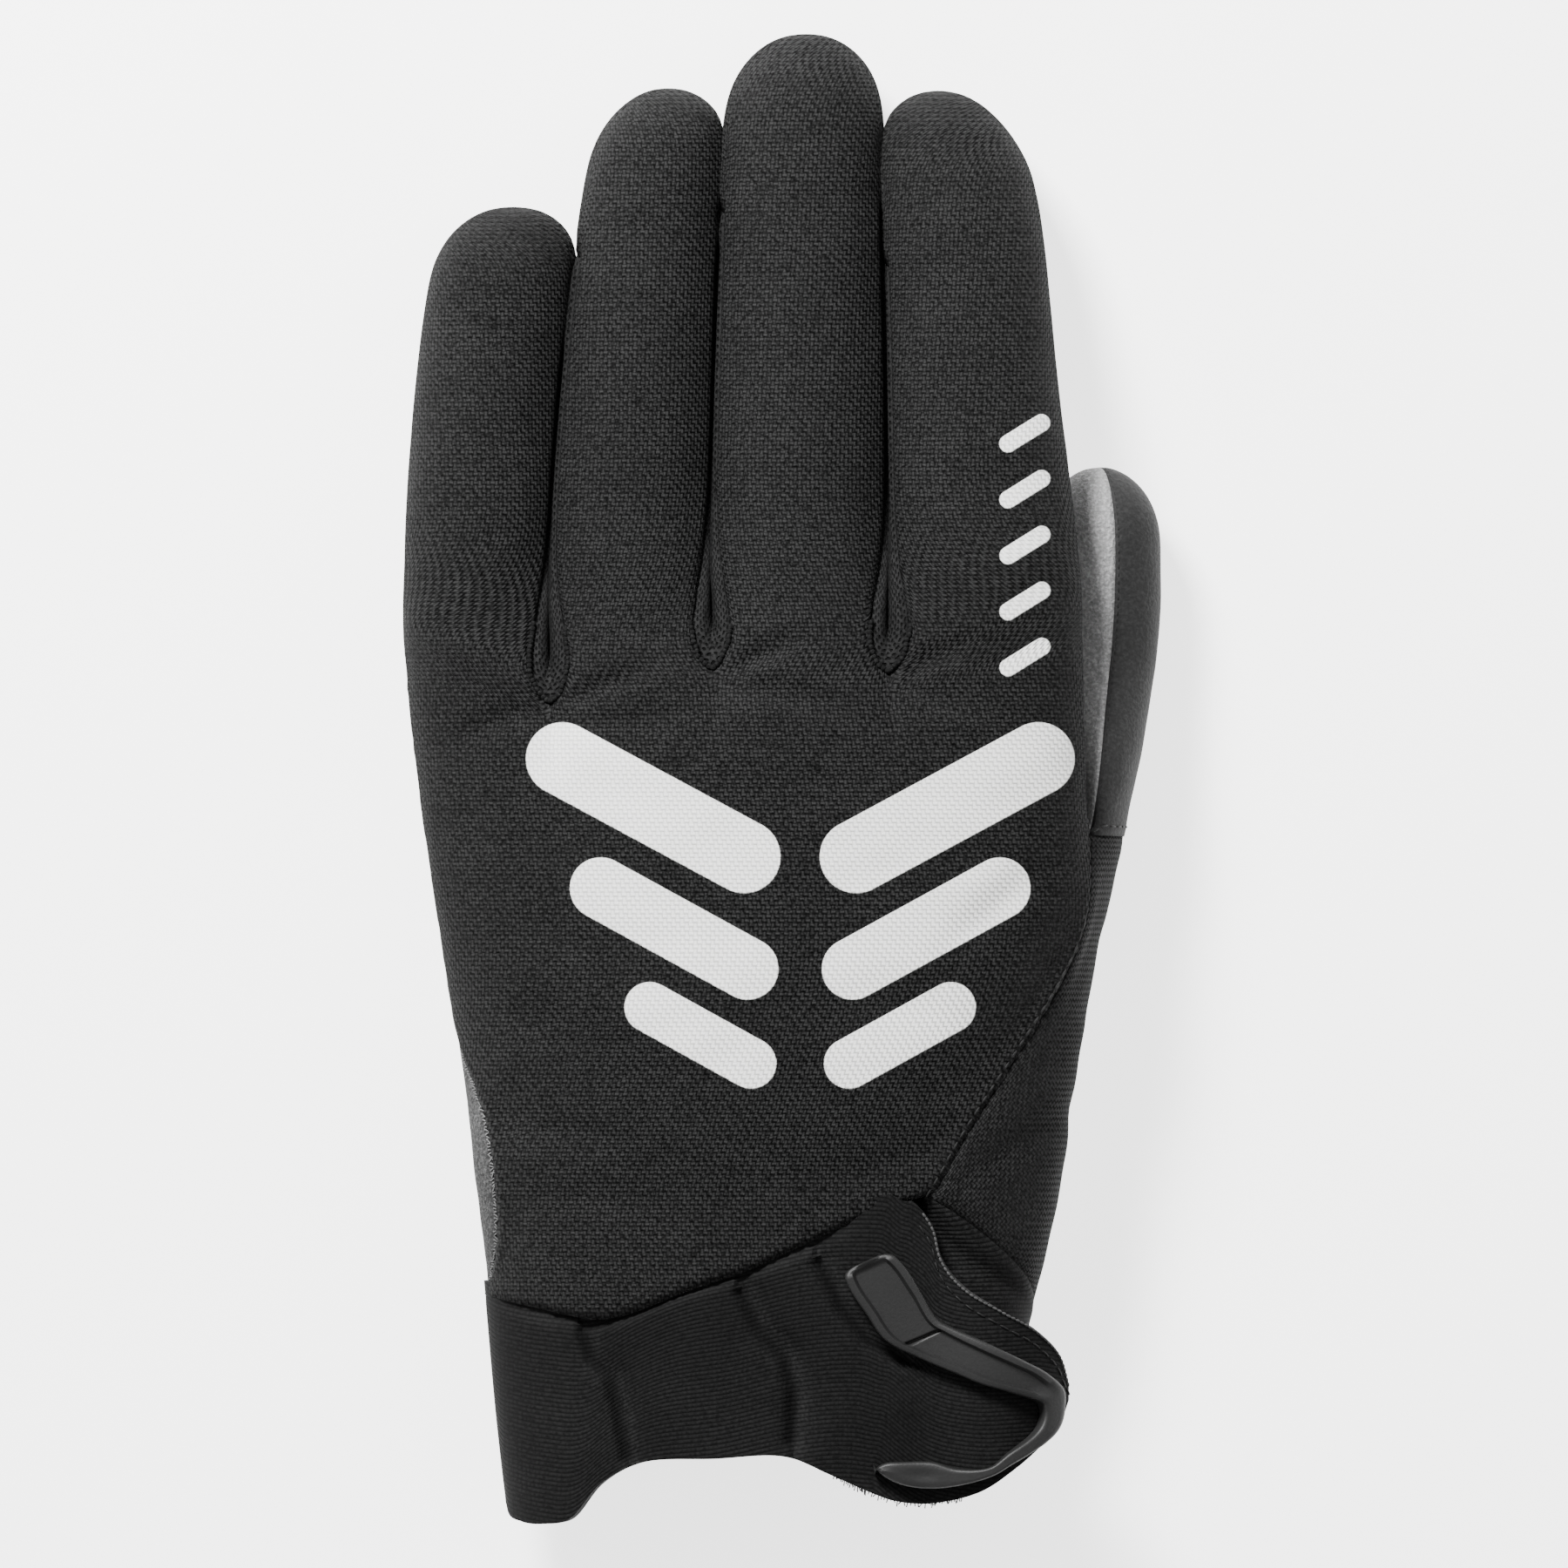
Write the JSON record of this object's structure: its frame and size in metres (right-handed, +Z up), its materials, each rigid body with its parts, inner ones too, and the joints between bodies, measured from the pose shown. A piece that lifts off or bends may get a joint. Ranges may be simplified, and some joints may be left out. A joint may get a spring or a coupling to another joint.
{
  "type": "motocross glove",
  "caption": "Left-hand motocross glove with a suede palm, mesh between the fingers and a short wrist strap with a rubber pull, lying palm down.",
  "frame": {"origin": "centre of the bounding box's footprint on the surface that the glove lies on, palm down", "axes": "+Y to the fingertips, +X to the thumb side, +Z up through the back of the hand"},
  "size_m": [0.1092, 0.2143, 0.032],
  "materials": {
    "back_fabric": "matt woven stretch fabric",
    "palm_suede": "matt synthetic suede",
    "finger_mesh": "open knitted mesh",
    "thumb_overlay": "smooth synthetic leather",
    "thumb_suede": "matt light synthetic suede",
    "stretch_fabric": "matt stretch fabric",
    "ribbed_neoprene": "fine ribbed knit over foam",
    "strap_neoprene": "embossed knit over foam",
    "hook_tape": "hook tape",
    "moulded_rubber": "satin moulded rubber"
  },
  "bodies": {
    "root": {"back_panel": "back_fabric", "palm_panel": "palm_suede", "fourchette_little_ring": "finger_mesh", "fourchette_ring_middle": "finger_mesh", "fourchette_middle_index": "finger_mesh", "thumb_back": "thumb_overlay", "thumb_front": "thumb_suede", "side_gusset": "stretch_fabric", "cuff": "ribbed_neoprene", "closure_strap": "strap_neoprene", "hook_pad": "hook_tape", "rubber_pull": "moulded_rubber"}
  },
  "joints": []
}
